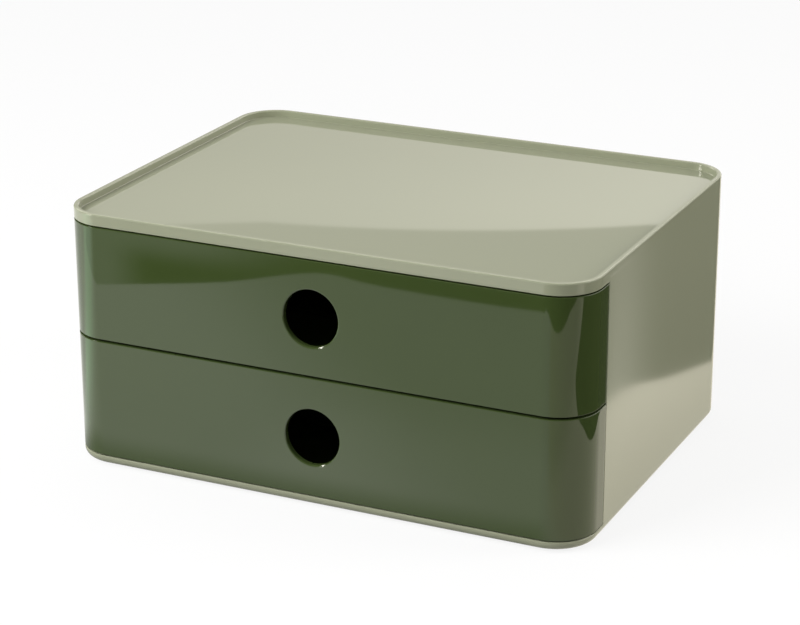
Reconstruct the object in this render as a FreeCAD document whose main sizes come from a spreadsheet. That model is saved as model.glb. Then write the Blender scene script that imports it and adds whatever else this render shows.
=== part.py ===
import FreeCAD, Part
import math
import os
import re

import Sketcher
from FreeCAD import Vector

# A desk box with two drawers. The case is one moulding, open at the front, with a tray on top.
# Each drawer is one moulding too: its front wraps round both front corners of the box, and
# behind the front it steps in to a narrower tub, which runs between the side walls. The tubs are
# alike, and the lower drawer's front is a little taller than the upper one's.
# The origin is the middle of the footprint, on the floor. The front faces -Y and +Z is up.

# Driving sizes in millimetres, one cell of the sheet each.
SIZES = {
    # the whole box, over its feet
    "box_width": 260.0,
    "box_depth": 195.0,
    "box_height": 125.0,
    "corner_radius": 20.0,
    # the case's walls, and the tray with its rim
    "case_wall": 2.5,
    "floor_plate": 2.5,
    "top_plate": 2.2,
    "rim_height": 3.5,
    "rim_width": 2.5,
    "rim_round": 0.8,
    "rim_bevel": 0.5,
    "tray_bevel": 0.2,
    "opening_bevel": 0.3,
    "underside_round": 3.5,
    # the sill under the lower drawer
    "sill_step": 1.8,
    "sill_width": 3.0,
    # the straight end of a drawer's wing, between the round corner and the side wall
    "wing_straight": 7.6,
    # the ledges that the drawers slide on, and the stops at their front ends
    "ledge_width": 6.0,
    "ledge_height": 2.0,
    "stop_drop": 2.5,
    "stop_length": 3.0,
    "stop_ramp": 2.0,
    # the drawers, and the lugs that catch on the stops
    "front_wall": 3.0,
    "lower_front_extra": 2.6,
    "drawer_wall": 2.5,
    "drawer_floor": 2.2,
    "front_round": 0.3,
    "floor_bevel": 1.5,
    "hole_diameter": 27.0,
    "hole_round": 0.8,
    "hole_bevel": 0.4,
    "lug_length": 8.0,
    "lug_ramp": 4.0,
    # gaps and clearances
    "front_gap": 0.6,
    "middle_gap": 1.2,
    "seam_gap": 0.3,
    "run_clearance": 0.3,
    "side_clearance": 0.7,
    "rear_clearance": 2.0,
    "foot_clearance": 0.2,
    # the feet
    "foot_diameter": 12.0,
    "foot_proud": 1.0,
    "foot_seat": 1.0,
    "foot_inset": 26.0,
    "foot_bevel": 0.4,
    # how far a cut runs past what it cuts
    "overrun": 10.0,
    # the largest part of a wall that one rounded edge may take
    "round_share": 0.45,
    "underside_share": 0.85,
}

# Places and sizes that follow from the driving ones.
PLACES = {
    "half_width": "box_width / 2",
    "front": "-box_depth / 2",
    "back": "box_depth / 2",
    "seam": "front + corner_radius + wing_straight",
    "inner_half": "half_width - case_wall",
    "inner_back": "back - case_wall",
    "inner_radius": "corner_radius - case_wall",
    "floor_top": "foot_proud + floor_plate",
    "sill_top": "floor_top + sill_step",
    "lip_bottom": "box_height - rim_height - top_plate",
    "opening_height": "lip_bottom - sill_top",
    "ledge_inner": "inner_half - ledge_width",
    "ledge_end": "back - corner_radius",
    "stop_back": "seam + stop_ramp + stop_length",
    "upper_front": "(opening_height - 2 * front_gap - middle_gap - lower_front_extra) / 2",
    "lower_front": "upper_front + lower_front_extra",
    "lower_bottom": "sill_top + front_gap",
    "upper_bottom": "lower_bottom + lower_front + middle_gap",
    # heights above a drawer's own underside, alike for both drawers
    "ledge_above": "upper_front + front_gap - ledge_height",
    "stop_under": "ledge_above - stop_drop",
    "tub_height": "stop_under - run_clearance",
    "lug_top": "ledge_above - run_clearance",
    # the plan of a drawer
    "wing_end": "seam - seam_gap",
    "tub_half": "inner_half - side_clearance",
    "tub_back": "inner_back - rear_clearance",
    "tub_radius": "inner_radius - rear_clearance",
    "tub_inner": "tub_half - drawer_wall",
    "lug_back": "tub_back - tub_radius",
    "lug_front": "lug_back - lug_length",
    # the feet
    "foot_x": "half_width - foot_inset",
    "foot_y": "back - foot_inset",
    "foot_radius": "foot_diameter / 2",
    "foot_height": "foot_proud + foot_seat",
}

# Two lengths closer than this are the same when edges are looked up.
SAME = 1e-5

doc = FreeCAD.newDocument("drawer_box")
sheet = doc.addObject("Spreadsheet::Sheet", "Sizes")
for row, (alias, number) in enumerate(SIZES.items(), start=1):
    sheet.set(f"A{row}", alias)
    sheet.set(f"B{row}", str(number))
    sheet.setAlias(f"B{row}", alias)
doc.recompute()


def expression(text):
    """The text with each place written out and each size read from the sheet."""
    def written_out(word):
        name = word.group()
        if name in PLACES:
            return f"({expression(PLACES[name])})"
        return f"Sizes.{name}" if name in SIZES else name
    return re.sub(r"[a-z_]+", written_out, text)


def number_of(text):
    return float(sheet.evalExpression(expression(text)))


def bind(item, prop, text):
    item.setExpression(prop, expression(text))


# Sketches


def new_body(name):
    body = doc.addObject("PartDesign::Body", name)
    body.Label = name
    return body


def origin_plane(body, role):
    return next(plane for plane in body.Origin.OriginFeatures if plane.Role == role)


def new_sketch(body, name, role, offset="0"):
    """A sketch on one of the body's own planes, moved along that plane's normal."""
    sketch = body.newObject("Sketcher::SketchObject", f"{body.Label}_{name}")
    sketch.AttachmentSupport = [(origin_plane(body, role), "")]
    sketch.MapMode = "FlatFace"
    bind(sketch, "AttachmentOffset.Base.z", offset)
    return sketch


def constrain(sketch, kind, *where, size=None):
    """Adds a constraint, and binds its size to the sheet where it has one."""
    if size is None:
        sketch.addConstraint(Sketcher.Constraint(kind, *where))
        return
    index = sketch.addConstraint(Sketcher.Constraint(kind, *where, number_of(size)))
    bind(sketch, f"Constraints[{index}]", size)


def place_point(sketch, geometry, end, across=None, up=None):
    """Fixes a point's distance from the sketch's axes, or lays it on an axis where that is 0."""
    for kind, axis, size in (("DistanceX", -2, across), ("DistanceY", -1, up)):
        if size == "0":
            constrain(sketch, "PointOnObject", geometry, end, axis)
        elif size is not None:
            constrain(sketch, kind, -1, 1, geometry, end, size=size)


def add_arc(sketch, corner, way_in, way_out, radius):
    """A quarter circle, anticlockwise, that rounds the corner between two sides."""
    centre = corner + (way_out - way_in) * radius
    start = math.atan2(-way_out.y, -way_out.x)
    circle = Part.Circle(centre, Vector(0, 0, 1), radius)
    return sketch.addGeometry(Part.ArcOfCircle(circle, start, start + math.pi / 2), False)


def add_outline(sketch, corners):
    """A closed outline, anticlockwise. A corner is (across, up), or (across, up, radius) if round."""
    points = [Vector(number_of(corner[0]), number_of(corner[1]), 0) for corner in corners]
    radii = [number_of(corner[2]) if len(corner) > 2 else 0 for corner in corners]
    ways = []
    sides = []
    for index, point in enumerate(points):
        following = (index + 1) % len(points)
        way = (points[following] - point).normalize()
        begin = point + way * radii[index]
        end = points[following] - way * radii[following]
        ways.append(way)
        sides.append(sketch.addGeometry(Part.LineSegment(begin, end), False))
    for index, corner in enumerate(corners):
        side, side_before = sides[index], sides[index - 1]
        way, way_before = ways[index], ways[index - 1]
        level, level_before = abs(way.y) < SAME, abs(way_before.y) < SAME
        upright, upright_before = abs(way.x) < SAME, abs(way_before.x) < SAME
        if level:
            constrain(sketch, "Horizontal", side)
        if upright:
            constrain(sketch, "Vertical", side)
        if radii[index]:
            arc = add_arc(sketch, points[index], way_before, way, radii[index])
            constrain(sketch, "Tangent", side_before, 2, arc, 1)
            constrain(sketch, "Tangent", arc, 2, side, 1)
            constrain(sketch, "Radius", arc, size=corner[2])
        else:
            constrain(sketch, "Coincident", side_before, 2, side, 1)
        if level or not level_before:
            place_point(sketch, side, 1, up=corner[1])
        if upright or not upright_before:
            place_point(sketch, side, 1, across=corner[0])


def add_circle(sketch, across, up, radius):
    centre = Vector(number_of(across), number_of(up), 0)
    circle = sketch.addGeometry(Part.Circle(centre, Vector(0, 0, 1), number_of(radius)), False)
    constrain(sketch, "Radius", circle, size=radius)
    place_point(sketch, circle, 3, across=across, up=up)


def rounded_rectangle(half, low, high, low_radius, high_radius):
    """Corners of a rectangle that is even about the middle, with round corners."""
    return [
        (f"-({half})", low, low_radius),
        (half, low, low_radius),
        (half, high, high_radius),
        (f"-({half})", high, high_radius),
    ]


def rectangle(left, right, low, high):
    return [(left, low), (right, low), (right, high), (left, high)]


# Features


def swept(body, kind, name, sketch, length, reverse=False):
    feature = body.newObject(kind, f"{body.Label}_{name}")
    feature.Profile = sketch
    feature.Reversed = reverse
    bind(feature, "Length", length)
    return feature


def pad(body, name, sketch, length, reverse=False):
    feature = swept(body, "PartDesign::Pad", name, sketch, length, reverse)
    doc.recompute()
    return feature


def pocket(body, name, sketch, length, reverse=False):
    """Cuts the profile out, against the sketch's normal, and makes sure that something went."""
    before = body.Shape.Volume
    feature = swept(body, "PartDesign::Pocket", name, sketch, length, reverse)
    doc.recompute()
    if feature.Shape.Volume >= before:
        raise RuntimeError(f"{feature.Label} cuts nothing")
    return feature


def mirror_sideways(body, name, feature):
    """The same feature again on the other side of the middle plane."""
    mirrored = body.newObject("PartDesign::Mirrored", f"{body.Label}_{name}")
    mirrored.Originals = [feature]
    mirrored.MirrorPlane = (origin_plane(body, "YZ_Plane"), [""])
    body.Tip = mirrored
    doc.recompute()
    return mirrored


def dress_edges(body, kind, name, chosen):
    """A fillet or chamfer on the edges of the body so far that the test picks."""
    base = body.Tip
    names = [f"Edge{count}" for count, edge in enumerate(base.Shape.Edges, start=1) if chosen(edge)]
    feature = body.newObject(kind, f"{body.Label}_{name}")
    feature.Base = (base, names)
    return feature


def round_edges(body, name, chosen, radius):
    bind(dress_edges(body, "PartDesign::Fillet", name, chosen), "Radius", radius)
    doc.recompute()


def bevel_edges(body, name, chosen, size):
    bind(dress_edges(body, "PartDesign::Chamfer", name, chosen), "Size", size)
    doc.recompute()


def lies_level(edge, height):
    box = edge.BoundBox
    return abs(box.ZMin - height) < SAME and abs(box.ZMax - height) < SAME


def reaches_side(edge, half):
    """Whether the edge, or any part of it, is as far out as the side at this half width."""
    return abs(max(abs(edge.BoundBox.XMin), abs(edge.BoundBox.XMax)) - half) < SAME


def is_in_from_outer_face(edge, distance):
    """Whether the middle of the edge lies this far inside the upright outer face of the box."""
    middle = edge.valueAt((edge.FirstParameter + edge.LastParameter) / 2)
    past_side = max(abs(middle.x) - number_of("half_width - corner_radius"), 0)
    past_end = max(abs(middle.y) - number_of("back - corner_radius"), 0)
    radius = number_of(f"corner_radius - {distance}")
    return abs(math.hypot(past_side, past_end) - radius) < SAME


def is_ring_at(edge, along):
    """Whether the edge is a circle that stands upright at this place from front to back."""
    box = edge.BoundBox
    round_edge = isinstance(edge.Curve, Part.Circle)
    return round_edge and abs(box.YMin - along) < SAME and abs(box.YMax - along) < SAME


# The case


def make_case():
    case = new_body("case_shell")
    outline = new_sketch(case, "outline", "XY_Plane", "foot_proud")
    add_outline(outline, rounded_rectangle("half_width", "front", "back", "corner_radius", "corner_radius"))
    pad(case, "block", outline, "box_height - foot_proud")
    round_underside(case)
    cut_tray(case)
    cut_opening(case)
    add_ledges(case)
    add_stops(case)
    cut_foot_seats(case)


def round_underside(case):
    bottom = number_of("foot_proud")
    radius = "min(underside_round; (floor_plate + sill_step) * underside_share)"
    round_edges(case, "underside", lambda edge: lies_level(edge, bottom), radius)


def cut_tray(case):
    """The tray is sunk into the top, which leaves the rim standing round it."""
    tray = new_sketch(case, "tray", "XY_Plane", "box_height")
    radius = "corner_radius - rim_width"
    edge = "{} - rim_width"
    add_outline(tray, rounded_rectangle(edge.format("half_width"), "front + rim_width",
                                        edge.format("back"), radius, radius))
    pocket(case, "tray_cut", tray, "rim_height")
    top = number_of("box_height")
    floor = number_of("box_height - rim_height")
    round_edges(case, "rim_outside", lambda edge: lies_level(edge, top) and is_in_from_outer_face(edge, "0"),
                "min(rim_round; rim_width * round_share)")
    bevel_edges(case, "rim_inside",
                lambda edge: lies_level(edge, top) and is_in_from_outer_face(edge, "rim_width"),
                "min(rim_bevel; rim_width * round_share)")
    bevel_edges(case, "tray_foot", lambda edge: lies_level(edge, floor), "tray_bevel")


def cut_opening(case):
    """The inside, open at the front and, in front of the seam, at both sides too."""
    opening = new_sketch(case, "opening", "XY_Plane", "lip_bottom")
    beside, before = "half_width + overrun", "front - overrun"
    add_outline(opening, [
        (f"-({beside})", before),
        (beside, before),
        (beside, "seam"),
        ("inner_half", "seam"),
        ("inner_half", "inner_back", "inner_radius"),
        ("-inner_half", "inner_back", "inner_radius"),
        ("-inner_half", "seam"),
        (f"-({beside})", "seam"),
    ])
    pocket(case, "opening_cut", opening, "opening_height")
    well = new_sketch(case, "well", "XY_Plane", "sill_top")
    add_outline(well, rounded_rectangle("inner_half", "front + sill_width", "inner_back",
                                        "corner_radius - sill_width", "inner_radius"))
    pocket(case, "well_cut", well, "sill_step")
    half, seam, lip, sill = (number_of(text) for text in ("half_width", "seam", "lip_bottom", "sill_top"))

    def is_round_the_opening(edge):
        """The outer edges of the lip, the sill and the side walls' front ends."""
        box = edge.BoundBox
        if lies_level(edge, lip) or lies_level(edge, sill):
            return is_in_from_outer_face(edge, "0") and box.YMin < seam - SAME
        upright = abs(box.YMin - seam) < SAME and abs(box.YMax - seam) < SAME
        return upright and reaches_side(edge, half) and box.ZLength > (lip - sill) / 2

    bevel_edges(case, "opening_edges", is_round_the_opening, "opening_bevel")


def add_ledges(case):
    """Under each drawer it slides on a pair, and the pair above keeps it from tipping."""
    levels = [
        ("floor_top", "lower_bottom - run_clearance"),
        ("lower_bottom + ledge_above", "upper_bottom - run_clearance"),
        ("upper_bottom + ledge_above", "lip_bottom"),
    ]
    ledges = new_sketch(case, "ledges", "XZ_Plane", "-seam")
    for low, high in levels:
        add_outline(ledges, rectangle("-inner_half", "-ledge_inner", low, high))
        add_outline(ledges, rectangle("ledge_inner", "inner_half", low, high))
    pad(case, "ledge_bars", ledges, "ledge_end - seam", reverse=True)


def add_stops(case):
    """Nibs under the front ends of the upper ledges, with a ramp that lets a drawer in."""
    stops = new_sketch(case, "stops", "YZ_Plane", "ledge_inner")
    for bottom in ("lower_bottom", "upper_bottom"):
        root, tip = f"{bottom} + ledge_above", f"{bottom} + stop_under"
        add_outline(stops, [
            ("seam", root),
            ("seam + stop_ramp", tip),
            ("stop_back", tip),
            ("stop_back", root),
        ])
    right = pad(case, "stops_right", stops, "ledge_width")
    mirror_sideways(case, "stops_both", right)


def cut_foot_seats(case):
    seats = new_sketch(case, "foot_seats", "XY_Plane", "foot_proud")
    for across in ("-foot_x", "foot_x"):
        for along in ("-foot_y", "foot_y"):
            add_circle(seats, across, along, "foot_radius + foot_clearance")
    pocket(case, "foot_seat_cuts", seats, "foot_seat", reverse=True)


# The drawers


def make_drawer(name, bottom, front_height):
    drawer = new_body(name)
    bind(drawer, "Placement.Base.z", bottom)
    add_tub_and_front(drawer, front_height)
    hollow_drawer(drawer, front_height)
    cut_finger_hole(drawer, f"{front_height} / 2")
    add_lugs(drawer)


def add_tub_and_front(drawer, front_height):
    """The whole plan as high as the tub, and the front with its wings at full height."""
    plan = new_sketch(drawer, "plan", "XY_Plane")
    add_outline(plan, [
        ("-half_width", "front", "corner_radius"),
        ("half_width", "front", "corner_radius"),
        ("half_width", "wing_end"),
        ("tub_half", "wing_end"),
        ("tub_half", "tub_back", "tub_radius"),
        ("-tub_half", "tub_back", "tub_radius"),
        ("-tub_half", "wing_end"),
        ("-half_width", "wing_end"),
    ])
    pad(drawer, "tub", plan, "tub_height")
    face = new_sketch(drawer, "face_plan", "XY_Plane")
    add_outline(face, [
        ("-half_width", "front", "corner_radius"),
        ("half_width", "front", "corner_radius"),
        ("half_width", "wing_end"),
        ("-half_width", "wing_end"),
    ])
    pad(drawer, "face", face, front_height)
    half, top, wing_end = (number_of(text) for text in ("half_width", front_height, "wing_end"))

    def on_front(edge):
        """The outer edges of the front and its wings, with the upright ends of the wings."""
        box = edge.BoundBox
        if box.YMax > wing_end + SAME:
            return False
        if lies_level(edge, 0) or lies_level(edge, top):
            return box.YMin < wing_end - SAME
        return reaches_side(edge, half) and abs(box.YMin - wing_end) < SAME

    round_edges(drawer, "front_edges", on_front, "min(front_round; front_wall * round_share)")


def hollow_drawer(drawer, front_height):
    inside = new_sketch(drawer, "inside", "XY_Plane", front_height)
    front_half, step = "half_width - front_wall", "wing_end - drawer_wall"
    front_radius, tub_radius = "corner_radius - front_wall", "tub_radius - drawer_wall"
    add_outline(inside, [
        (f"-({front_half})", "front + front_wall", front_radius),
        (front_half, "front + front_wall", front_radius),
        (front_half, step),
        ("tub_inner", step),
        ("tub_inner", "tub_back - drawer_wall", tub_radius),
        ("-tub_inner", "tub_back - drawer_wall", tub_radius),
        ("-tub_inner", step),
        (f"-({front_half})", step),
    ])
    pocket(drawer, "inside_cut", inside, f"{front_height} - drawer_floor")
    floor = number_of("drawer_floor")
    bevel_edges(drawer, "floor_edge", lambda edge: lies_level(edge, floor), "floor_bevel")


def cut_finger_hole(drawer, middle):
    hole = new_sketch(drawer, "hole", "XZ_Plane", "-front")
    add_circle(hole, "0", middle, "hole_diameter / 2")
    pocket(drawer, "hole_cut", hole, "front_wall + overrun")
    outer, inner = number_of("front"), number_of("front + front_wall")
    round_edges(drawer, "hole_outside", lambda edge: is_ring_at(edge, outer),
                "min(hole_round; front_wall * round_share)")
    bevel_edges(drawer, "hole_inside", lambda edge: is_ring_at(edge, inner),
                "min(hole_bevel; front_wall * round_share)")


def add_lugs(drawer):
    """Lugs on the back ends of the side walls. They meet the stops when the drawer is fully out."""
    lugs = new_sketch(drawer, "lugs", "YZ_Plane", "tub_inner")
    add_outline(lugs, [
        ("lug_front", "tub_height"),
        ("lug_back", "tub_height"),
        ("lug_back - lug_ramp", "lug_top"),
        ("lug_front", "lug_top"),
    ])
    right = pad(drawer, "lug_right", lugs, "drawer_wall")
    mirror_sideways(drawer, "lugs_both", right)


# The feet


def make_foot(name, across, along):
    """A round pad that sits in its seat in the underside and stands a little proud."""
    foot = new_body(name)
    bind(foot, "Placement.Base.x", across)
    bind(foot, "Placement.Base.y", along)
    bevel = "min(foot_bevel; foot_proud * round_share)"
    half = new_sketch(foot, "half_section", "XZ_Plane")
    add_outline(half, [
        ("0", "0"),
        (f"foot_radius - {bevel}", "0"),
        ("foot_radius", bevel),
        ("foot_radius", "foot_height"),
        ("0", "foot_height"),
    ])
    turned = foot.newObject("PartDesign::Revolution", f"{name}_pad")
    turned.Profile = half
    turned.ReferenceAxis = (half, ["V_Axis"])
    doc.recompute()


def check_document():
    """Stops if anything failed, or if a piece isn't one sound solid."""
    for item in doc.Objects:
        if any(word in item.State for word in ("Invalid", "Error")):
            raise RuntimeError(f"{item.Label} failed: {item.State}")
    bodies = [item for item in doc.Objects if item.TypeId == "PartDesign::Body"]
    for body in bodies:
        if body.Shape.isNull() or not body.Shape.isValid() or len(body.Shape.Solids) != 1:
            raise RuntimeError(f"{body.Label} isn't one valid solid")
    return bodies


make_case()
make_drawer("lower_drawer", "lower_bottom", "lower_front")
make_drawer("upper_drawer", "upper_bottom", "upper_front")
for end, along in (("front", "-foot_y"), ("rear", "foot_y")):
    for side, across in (("left", "-foot_x"), ("right", "foot_x")):
        make_foot(f"foot_{end}_{side}", across, along)
doc.recompute()

os.makedirs("parts", exist_ok=True)
for body in check_document():
    body.Shape.exportStep(f"parts/{body.Label}.step")
    box = body.Shape.BoundBox
    print(f"{body.Label}: {box.XLength:.2f} x {box.YLength:.2f} x {box.ZLength:.2f}, "
          f"volume {body.Shape.Volume:.0f}")

travel = number_of("lug_front - stop_back")
print(f"a drawer meets its stops after {travel:.2f}")
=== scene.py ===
import math

import bpy
from mathutils import Matrix, Vector
from mathutils.geometry import interpolate_bezier


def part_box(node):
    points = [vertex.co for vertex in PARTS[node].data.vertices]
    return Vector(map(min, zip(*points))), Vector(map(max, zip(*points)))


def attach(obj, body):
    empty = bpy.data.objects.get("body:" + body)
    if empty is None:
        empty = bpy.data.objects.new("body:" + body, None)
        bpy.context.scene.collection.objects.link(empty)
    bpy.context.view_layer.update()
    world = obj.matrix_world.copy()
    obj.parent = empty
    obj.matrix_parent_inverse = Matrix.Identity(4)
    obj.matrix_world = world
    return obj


# The looks of a desk box with two drawers. Every length is in metres, in the frame of the
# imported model: the origin is on the floor under the middle of the box, and the front faces -Y.

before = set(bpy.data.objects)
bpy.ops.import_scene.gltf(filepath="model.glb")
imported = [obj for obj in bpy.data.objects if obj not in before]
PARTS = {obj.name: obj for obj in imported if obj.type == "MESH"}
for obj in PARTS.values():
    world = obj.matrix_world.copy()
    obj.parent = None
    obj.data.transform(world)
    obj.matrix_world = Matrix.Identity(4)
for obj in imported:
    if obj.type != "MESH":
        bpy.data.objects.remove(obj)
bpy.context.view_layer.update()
MM = 0.001

_, CASE_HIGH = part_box("case_shell")
RIM_TOP = CASE_HIGH.z
RIM_HEIGHT = 3.5 * MM
TRAY_FLOOR = RIM_TOP - RIM_HEIGHT

# Facets that turn by less than this belong to one round.
ROUND_STEP = math.radians(25)

# Decimals that tell two planes or two corners of a mesh apart.
NORMAL_DECIMALS = 3
PLACE_DECIMALS = 5

WHITE = (1.0, 1.0, 1.0, 1.0)
BLACK = (0.0, 0.0, 0.0, 1.0)
PLASTIC_IOR = 1.53
RUBBER_IOR = 1.5


# Shader maths


class Socket:
    """One output in a node tree. Sums written with it add the Math nodes that they need."""

    def __init__(self, shader, output):
        self.shader = shader
        self.output = output

    def maths(self, operation, *values):
        inputs = dict(enumerate(values))
        return self.shader.add("ShaderNodeMath", {"operation": operation}, inputs)

    def __add__(self, other):
        return self.maths("ADD", self, other)

    def __sub__(self, other):
        return self.maths("SUBTRACT", self, other)

    def __rsub__(self, other):
        return self.maths("SUBTRACT", other, self)

    def __mul__(self, other):
        return self.maths("MULTIPLY", self, other)

    def __truediv__(self, other):
        return self.maths("DIVIDE", self, other)

    __radd__ = __add__
    __rmul__ = __mul__

    def at_most(self, limit):
        return self.maths("MINIMUM", self, limit)

    def clamped(self):
        return self.maths("MAXIMUM", self, 0.0).at_most(1.0)

    def rising(self, start, end):
        """0 up to start, 1 from end on, and a smooth rise between them."""
        inputs = {0: self, 1: start, 2: end, 3: 0.0, 4: 1.0}
        return self.shader.add("ShaderNodeMapRange", {"interpolation_type": "SMOOTHSTEP"}, inputs)

    def falling(self, start, end):
        """1 up to start, 0 from end on, and a smooth fall between them."""
        return 1.0 - self.rising(start, end)


class Shader:
    """The node tree of a material or of the world, emptied first."""

    def __init__(self, owner):
        owner.use_nodes = True
        self.tree = owner.node_tree
        self.tree.nodes.clear()

    def add(self, kind, settings=None, inputs=None, output=0):
        """Makes a node. Its settings are set before its sockets get their values or links."""
        node = self.tree.nodes.new(kind)
        for name, value in (settings or {}).items():
            setattr(node, name, value)
        for name, value in (inputs or {}).items():
            if isinstance(value, Socket):
                self.tree.links.new(value.output, node.inputs[name])
            else:
                node.inputs[name].default_value = value
        return Socket(self, node.outputs[output]) if node.outputs else None

    def object_point(self):
        return self.add("ShaderNodeTexCoord", output="Object")

    def parts_of(self, vector):
        """The three numbers of a vector."""
        inputs = {0: vector}
        return [self.add("ShaderNodeSeparateXYZ", None, inputs, index) for index in range(3)]

    def ray_is(self, kind):
        """1 for rays of this kind: Camera or Glossy."""
        return self.add("ShaderNodeLightPath", output=f"Is {kind} Ray")

    def noise(self, point, size, detail=2.0):
        """Smooth noise around 0.5, with bumps of about this size in metres."""
        inputs = {"Vector": point, "Scale": 1.0 / size, "Detail": detail}
        return self.add("ShaderNodeTexNoise", {"noise_dimensions": "3D"}, inputs)

    def blend(self, share, first, second):
        """A colour between two."""
        inputs = {0: share, 6: first, 7: second}
        return self.add("ShaderNodeMix", {"data_type": "RGBA"}, inputs, 2)

    def mix(self, share, first, second):
        """A shade between two."""
        return self.add("ShaderNodeMixShader", None, {0: share, 1: first, 2: second})

    def bumps(self, height):
        """A normal bent by a height in metres."""
        return self.add("ShaderNodeBump", None, {"Height": height, "Strength": 1.0, "Distance": 1.0})

    def moulded(self, colour, roughness, normal, ior):
        """A plastic or rubber surface."""
        inputs = {"Base Color": colour, "Roughness": roughness, "Normal": normal, "IOR": ior}
        return self.add("ShaderNodeBsdfPrincipled", None, inputs)

    def glow(self, light, most, colour):
        """Light that comes off a surface, up to the most."""
        tint = self.blend(light / most, BLACK, colour)
        return self.add("ShaderNodeEmission", None, {"Color": tint, "Strength": most})

    def finish(self, shade, kind="ShaderNodeOutputMaterial"):
        self.add(kind, None, {"Surface": shade})


def new_material(name):
    """An empty material and its shader."""
    material = bpy.data.materials.new(name)
    return material, Shader(material)


def linear(red, green, blue):
    """A colour from its 0 to 255 screen values."""
    parts = [value / 255 for value in (red, green, blue)]
    return (*(p / 12.92 if p <= 0.04045 else ((p + 0.055) / 1.055) ** 2.4 for p in parts), 1.0)


# Finishes of the box


def sage_case_plastic():
    """Satin moulded plastic, polished on the floor of the tray and a little duller on the rim."""
    material, shader = new_material("sage_case_plastic")
    point = shader.object_point()
    _, _, height = shader.parts_of(point)
    cloud = shader.noise(point, 0.09)
    grain = shader.noise(point, 0.0009, 3.0)
    sink = shader.noise(point, 0.13, 0.0)
    over_floor = height.rising(TRAY_FLOOR - 0.6 * MM, TRAY_FLOOR - 0.4 * MM)
    tray = over_floor * height.falling(TRAY_FLOOR + 0.1 * MM, TRAY_FLOOR + 0.3 * MM)
    rim = height.rising(RIM_TOP - 0.6 * MM, RIM_TOP - 0.2 * MM)
    colour = shader.blend(cloud, linear(150, 154, 130), linear(154, 157, 132))
    roughness = 0.12 - tray * 0.105 + rim * 0.04 + (grain - 0.5) * 0.02 * (1.0 - tray * 0.9)
    normal = shader.bumps(grain * (0.001 * MM) * (1.0 - tray * 0.98) + sink * (0.02 * MM))
    shader.finish(shader.moulded(colour, roughness, normal, PLASTIC_IOR))
    return material


def olive_drawer_plastic():
    """High gloss moulded plastic, very slightly uneven."""
    material, shader = new_material("olive_drawer_plastic")
    point = shader.object_point()
    cloud = shader.noise(point, 0.07)
    grain = shader.noise(point, 0.0012)
    sink = shader.noise(point, 0.11, 0.0)
    colour = shader.blend(cloud, linear(59, 73, 37), linear(63, 77, 39))
    roughness = 0.035 + (grain - 0.5) * 0.02
    normal = shader.bumps(grain * (0.0003 * MM) + sink * (0.05 * MM))
    shader.finish(shader.moulded(colour, roughness, normal, PLASTIC_IOR))
    return material


def foot_rubber():
    """Dull dark rubber with a fine moulded texture."""
    material, shader = new_material("foot_rubber")
    grain = shader.noise(shader.object_point(), 0.0006, 3.0)
    colour = shader.blend(grain, linear(34, 34, 33), linear(48, 48, 46))
    normal = shader.bumps(grain * (0.05 * MM))
    shader.finish(shader.moulded(colour, 0.7 + grain * 0.2, normal, RUBBER_IOR))
    return material


def rounded(vector, decimals):
    return tuple(round(number, decimals) for number in vector)


def shade_rounds(part):
    """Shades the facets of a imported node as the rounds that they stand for, so that a reflection
    runs on from a flat face into a round without a step. No vertex moves."""
    mesh = part.data
    areas = {}
    neighbours = {}
    for face in mesh.polygons:
        distance = round(face.normal.dot(face.center), PLACE_DECIMALS)
        plane = (*rounded(face.normal, NORMAL_DECIMALS), distance)
        areas[plane] = areas.get(plane, 0) + face.area
        for corner in face.vertices:
            place = rounded(mesh.vertices[corner].co, PLACE_DECIMALS)
            neighbours.setdefault(place, {})[plane] = face.normal.copy()
    normals = []
    for face in mesh.polygons:
        for corner in face.vertices:
            place = rounded(mesh.vertices[corner].co, PLACE_DECIMALS)
            normal = Vector()
            for plane, way in neighbours[place].items():
                if way.angle(face.normal) < ROUND_STEP:
                    normal += way * areas[plane] ** 2
            normals.append(normal.normalized())
    mesh.normals_split_custom_set(normals)


def dress(names, body, material):
    """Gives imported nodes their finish, and their rounded faces smooth shading."""
    for name in names:
        part = PARTS[name]
        shade_rounds(part)
        part.data.materials.clear()
        part.data.materials.append(material)
        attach(part, body)


dress(["case_shell"], "case", sage_case_plastic())
drawer_plastic = olive_drawer_plastic()
dress(["upper_drawer"], "upper_drawer", drawer_plastic)
dress(["lower_drawer"], "lower_drawer", drawer_plastic)
feet = [name for name in PARTS if name.startswith("foot_")]
dress(feet, "case", foot_rubber())


# Floor, and the painted reflections that the gloss of the box shows in its place

# The lower part of the right side shows a painted reflection of floor light past a slanting line,
# where along - across * SIDE_SLOPE rises through SIDE_LINE.
SIDE_SLOPE = 2.76
SIDE_LINE = (-0.433, -0.429)

# Half the width of the floor, in metres.
FLOOR_HALF = 4


def stage_sheet(name, outline, material):
    """A flat sheet from its corners."""
    mesh = bpy.data.meshes.new(name)
    mesh.from_pydata(outline, [], [range(len(outline))])
    sheet = bpy.data.objects.new(name, mesh)
    bpy.context.scene.collection.objects.link(sheet)
    mesh.materials.append(material)
    return sheet


def painted_light_strip(across, along):
    """1 on the painted light strip at the front left that the rounded left corner of the drawers
    shows.
    """
    near_side = (across * 1.46 - along).falling(-0.26, -0.1)
    far_side = (across * 0.65 - along).rising(-0.13, -0.05) * along.falling(-0.105, -0.05)
    return near_side * far_side


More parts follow.
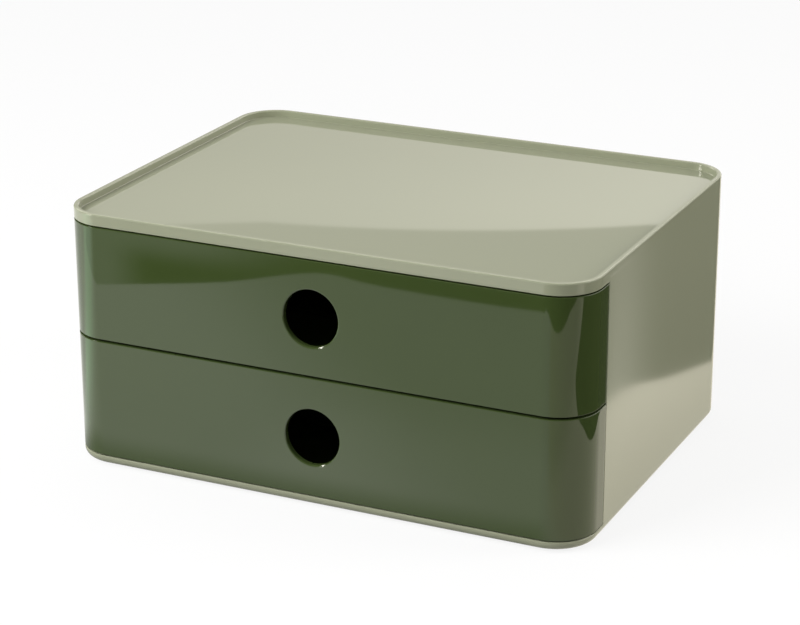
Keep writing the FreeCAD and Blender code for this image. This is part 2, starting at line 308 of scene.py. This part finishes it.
def floor_in_gloss(shader):
    """A painted reflection: the paper as the gloss of the box shows it, glowing brighter on the left
    and close to the front, with a painted shadow right under the front, and warmer beside the right
    wall."""
    across, along, _ = shader.parts_of(shader.object_point())
    left = (across - along * 0.95).falling(0.09, 0.22) * (1.0 - along.rising(-0.14, -0.04) * 0.5)
    near = along.rising(-0.25, -0.17) * across.rising(-0.08, -0.02)
    # Painted shadow of the box on the paper, right under its front.
    under = along.rising(-0.136, -0.104) * along.falling(0.09, 0.12)
    under = under * across.rising(-0.17, -0.13) * across.falling(0.1, 0.13)
    strip = painted_light_strip(across, along)
    before = (0.83 + left * 0.55 + near * 0.2) * (1.0 - under * 0.6) + strip * 1.1
    past_line = across.rising(0.13, 0.19) * (along - across * SIDE_SLOPE).rising(*SIDE_LINE)
    beside = 0.8 + along.rising(-0.22, -0.14) * 0.3 + past_line * 0.5
    at_right = across.rising(0.1, 0.14)
    light = before + (beside - before) * at_right
    colour = shader.blend(at_right, (1.0, 1.0, 0.97, 1.0), (1.0, 0.93, 0.78, 1.0))
    colour = shader.blend(strip, colour, (0.77, 1.0, 0.77, 1.0))
    return shader.glow(light, 2.6, colour)


def floor_paper():
    """Plain pale paper. The camera sees it near white, with the box's shadow on it."""
    material, shader = new_material("floor_paper")
    camera_ray = shader.ray_is("Camera")
    # Rays other than the camera's see dark grey paper: painted shade, less bounce light on the box's
    # underside.
    colour = shader.blend(camera_ray, (0.3, 0.3, 0.29, 1.0), (0.95, 0.95, 0.95, 1.0))
    paper = shader.add("ShaderNodeBsdfDiffuse", None, {"Color": colour})
    white = shader.add("ShaderNodeEmission", None, {"Color": WHITE, "Strength": 1.0})
    seen = shader.mix(camera_ray * 0.85, paper, white)
    # The gloss of the box sees the painted reflection of floor_in_gloss in place of the paper.
    shader.finish(shader.mix(shader.ray_is("Glossy"), seen, floor_in_gloss(shader)))
    return material


def front_painted_reflection():
    """Painted reflection of the dark room before the box, with painted light left and right before
    the lip.
    """
    material, shader = new_material("front_painted_reflection")
    across, along, _ = shader.parts_of(shader.object_point())
    far = along.falling(-0.4, -0.355) * across.falling(-0.24, -0.15)
    dark = (across - along * 0.635).rising(-0.045, -0.012) * (1.0 - far)
    under_lip = along.falling(-0.409, -0.406) * across.falling(-0.01, 0.02)
    lip_light = across.rising(-0.29, -0.14) * 0.95 + 0.3
    strip = painted_light_strip(across, along) * (1.0 - under_lip)
    light = (1.0 - dark) * (1.0 - under_lip) * 0.75 + under_lip * lip_light + strip * 1.15
    colour = shader.blend(under_lip, (0.95, 1.0, 0.9, 1.0), (1.0, 0.98, 1.0, 1.0))
    colour = shader.blend(strip, colour, (0.8, 1.0, 0.84, 1.0))
    shader.finish(shader.glow(light, 2.0, colour))
    return material


def right_painted_reflection():
    """Painted reflection of the dark room right of the box, with a little light along the slanting
    line.
    """
    material, shader = new_material("right_painted_reflection")
    across, along, _ = shader.parts_of(shader.object_point())
    place = along - across * SIDE_SLOPE
    light = 0.036 + place.rising(*SIDE_LINE) * place.falling(-0.43, -0.35) * 0.63
    shader.finish(shader.glow(light, 0.9, (1.0, 0.97, 0.85, 1.0)))
    return material


def smooth_line(points, steps):
    """A curve through the points, in straight steps."""
    ends = [points[0], *points, points[-1]]
    line = []
    for before, start, end, after in zip(ends, ends[1:], ends[2:], ends[3:]):
        leaving = start + (end - before) / 6
        arriving = end - (after - start) / 6
        line += interpolate_bezier(start, leaving, arriving, end, steps + 1)[:-1]
    return line + [points[-1]]


def painted_reflection_sheet(name, height, border, far_corners, material):
    """A dark sheet just over the floor that only the gloss of the box sees, a painted reflection, so
    that the bright paper ends at its border, as the front and the side show it. Its points are in
    millimetres."""
    near = [Vector((x, y, height)) * MM for x, y in border]
    far = [Vector((x, y, height)) * MM for x, y in far_corners]
    sheet = stage_sheet(name, smooth_line(near, 5) + far, material)
    sheet.visible_camera = False
    sheet.visible_diffuse = False
    sheet.visible_transmission = False
    sheet.visible_shadow = False
    sheet.visible_volume_scatter = False


stage_sheet("floor", [
    (-FLOOR_HALF, -FLOOR_HALF, 0), (FLOOR_HALF, -FLOOR_HALF, 0),
    (FLOOR_HALF, FLOOR_HALF, 0), (-FLOOR_HALF, FLOOR_HALF, 0)], floor_paper())
# Two dark sheets only reflections show: painted reflections of the room before and beside the box.
painted_reflection_sheet("front_painted_reflection", 0.4, [
    (-420, -230), (-300, -290), (-230, -325), (-185, -350), (-145, -385), (-100, -380), (-5, -380),
    (75, -400), (175, -365), (300, -320), (360, -290), (420, -230)],
    [(1500, -700), (1500, -3000), (-1500, -3000)], front_painted_reflection())
painted_reflection_sheet("right_painted_reflection", 0.5, [
    (145, 175), (165, 125), (180, 100), (187, 62), (207, 40), (235, -30), (263, -80), (275, -130),
    (305, -170), (335, -172), (395, -150), (455, -125)],
    [(1500, -400), (3000, 0), (3000, 3000), (600, 3000)], right_painted_reflection())


# Light

# The narrow upright lamp at the front left that the box shows as a few bright specks.
STRIP_AZIMUTH = math.radians(49)
STRIP_STRENGTH = 25.0

# The bright wall, as the tray shows it. Directions are unit vectors, so these are sines.
WALL_MIDDLE = -0.383
WALL_TOP = 0.3136


def direction(azimuth, elevation):
    """The unit vector to a place around the box, from degrees. Azimuth 0 is the front."""
    turn = math.radians(azimuth)
    rise = math.radians(elevation)
    return Vector((math.sin(turn) * math.cos(rise), -math.cos(turn) * math.cos(rise), math.sin(rise)))


def soft_lamp(name, azimuth, elevation, distance, width, height, share, colour=WHITE):
    """A soft box that points at the middle of the box. Its share is the light that it lays on a
    surface facing it, where 1 shows a colour as it is written."""
    lamp = bpy.data.lights.new(name, "AREA")
    lamp.shape = "RECTANGLE"
    lamp.size = width
    lamp.size_y = height
    lamp.energy = share * (math.pi * distance) ** 2
    lamp.color = colour[:3]
    thing = bpy.data.objects.new(name, lamp)
    bpy.context.scene.collection.objects.link(thing)
    away = direction(azimuth, elevation)
    thing.location = Vector((0, 0, 0.06)) + away * distance
    thing.rotation_mode = "QUATERNION"
    thing.rotation_quaternion = away.to_track_quat("Z", "Y")
    thing.visible_camera = False
    thing.visible_glossy = False


def wall_and_room(across, along, up):
    """A wall behind the box, brighter to the right, under a darker room. The front is darker."""
    aside = across - WALL_MIDDLE
    bend = (aside * aside * 0.72).at_most(0.0036)
    wall = (up - (WALL_TOP - bend)).falling(-0.0006, 0.0008)
    wall_light = (0.5 + aside * 1.9).clamped() * 1.8 + 0.41
    wall_light = wall_light * (0.85 + up.rising(0.27, 0.31) * 0.15)
    behind = along.rising(-0.1, 0.1)
    return (wall * wall_light + (1.0 - wall) * 0.62) * (behind * 0.85 + 0.15)


def back_lamp(along, up):
    """A wide lamp over the back."""
    return up.rising(0.39, 0.42) * up.falling(0.8, 0.86) * along.rising(0.1, 0.3) * 2.6


def strip_lamp(across, along, up):
    """A narrow upright lamp at the front left."""
    aside = across * math.cos(STRIP_AZIMUTH) - along * math.sin(STRIP_AZIMUTH)
    width = aside.rising(-0.075, -0.06) * aside.falling(0.06, 0.075) * along.falling(-0.3, -0.2)
    return width * up.rising(0.15, 0.2) * up.falling(0.42, 0.47) * STRIP_STRENGTH


def light_world():
    """A white backdrop for the camera, plain grey light on the box, and for its gloss a bright wall,
    a darker room above it, a wide lamp over the back and a narrow one at the front left."""
    world = bpy.data.worlds.new("studio")
    bpy.context.scene.world = world
    shader = Shader(world)
    across, along, up = shader.parts_of(shader.add("ShaderNodeTexCoord", output="Generated"))
    gloss = wall_and_room(across, along, up) + back_lamp(along, up) + strip_lamp(across, along, up)
    camera_ray = shader.ray_is("Camera")
    glossy_ray = shader.ray_is("Glossy")
    strength = glossy_ray * gloss + (1.0 - glossy_ray) * (0.5 - across * 0.2)
    strength = camera_ray + (1.0 - camera_ray) * strength
    colour = shader.blend(glossy_ray, WHITE, (0.93, 0.895, 0.82, 1.0))
    light = shader.add("ShaderNodeBackground", None, {"Color": colour, "Strength": strength})
    shader.finish(light, "ShaderNodeOutputWorld")


soft_lamp("front_left_lamp", -38, 35, 1.6, 1.1, 0.9, 0.95)
soft_lamp("right_lamp", 112, 20, 1.4, 0.6, 0.7, 0.46, (1.0, 0.97, 0.92, 1.0))
light_world()


# Camera, from the lines of the box in the photograph

CAMERA_AZIMUTH = 25.24
CAMERA_ELEVATION = 20.195
CAMERA_ROLL = math.radians(-0.117)
CAMERA_TARGET = Vector((-0.002057, 0, 0.061699))
CAMERA_DISTANCE = 1.18206
CAMERA_LENS = 110.764


def place_camera():
    back = direction(CAMERA_AZIMUTH, CAMERA_ELEVATION)
    turn = math.radians(CAMERA_AZIMUTH)
    level_right = Vector((math.cos(turn), math.sin(turn), 0))
    right = level_right * math.cos(CAMERA_ROLL) + back.cross(level_right) * math.sin(CAMERA_ROLL)
    up = back.cross(right)
    camera = bpy.data.cameras.new("camera")
    camera.lens = CAMERA_LENS
    camera.sensor_width = 36
    camera.clip_start = 0.01
    camera.clip_end = 100
    thing = bpy.data.objects.new("camera", camera)
    bpy.context.scene.collection.objects.link(thing)
    rotation = Matrix((right, up, back)).transposed().to_4x4()
    thing.matrix_world = Matrix.Translation(CAMERA_TARGET + back * CAMERA_DISTANCE) @ rotation
    bpy.context.scene.camera = thing


place_camera()
bpy.context.scene.view_settings.view_transform = "Standard"
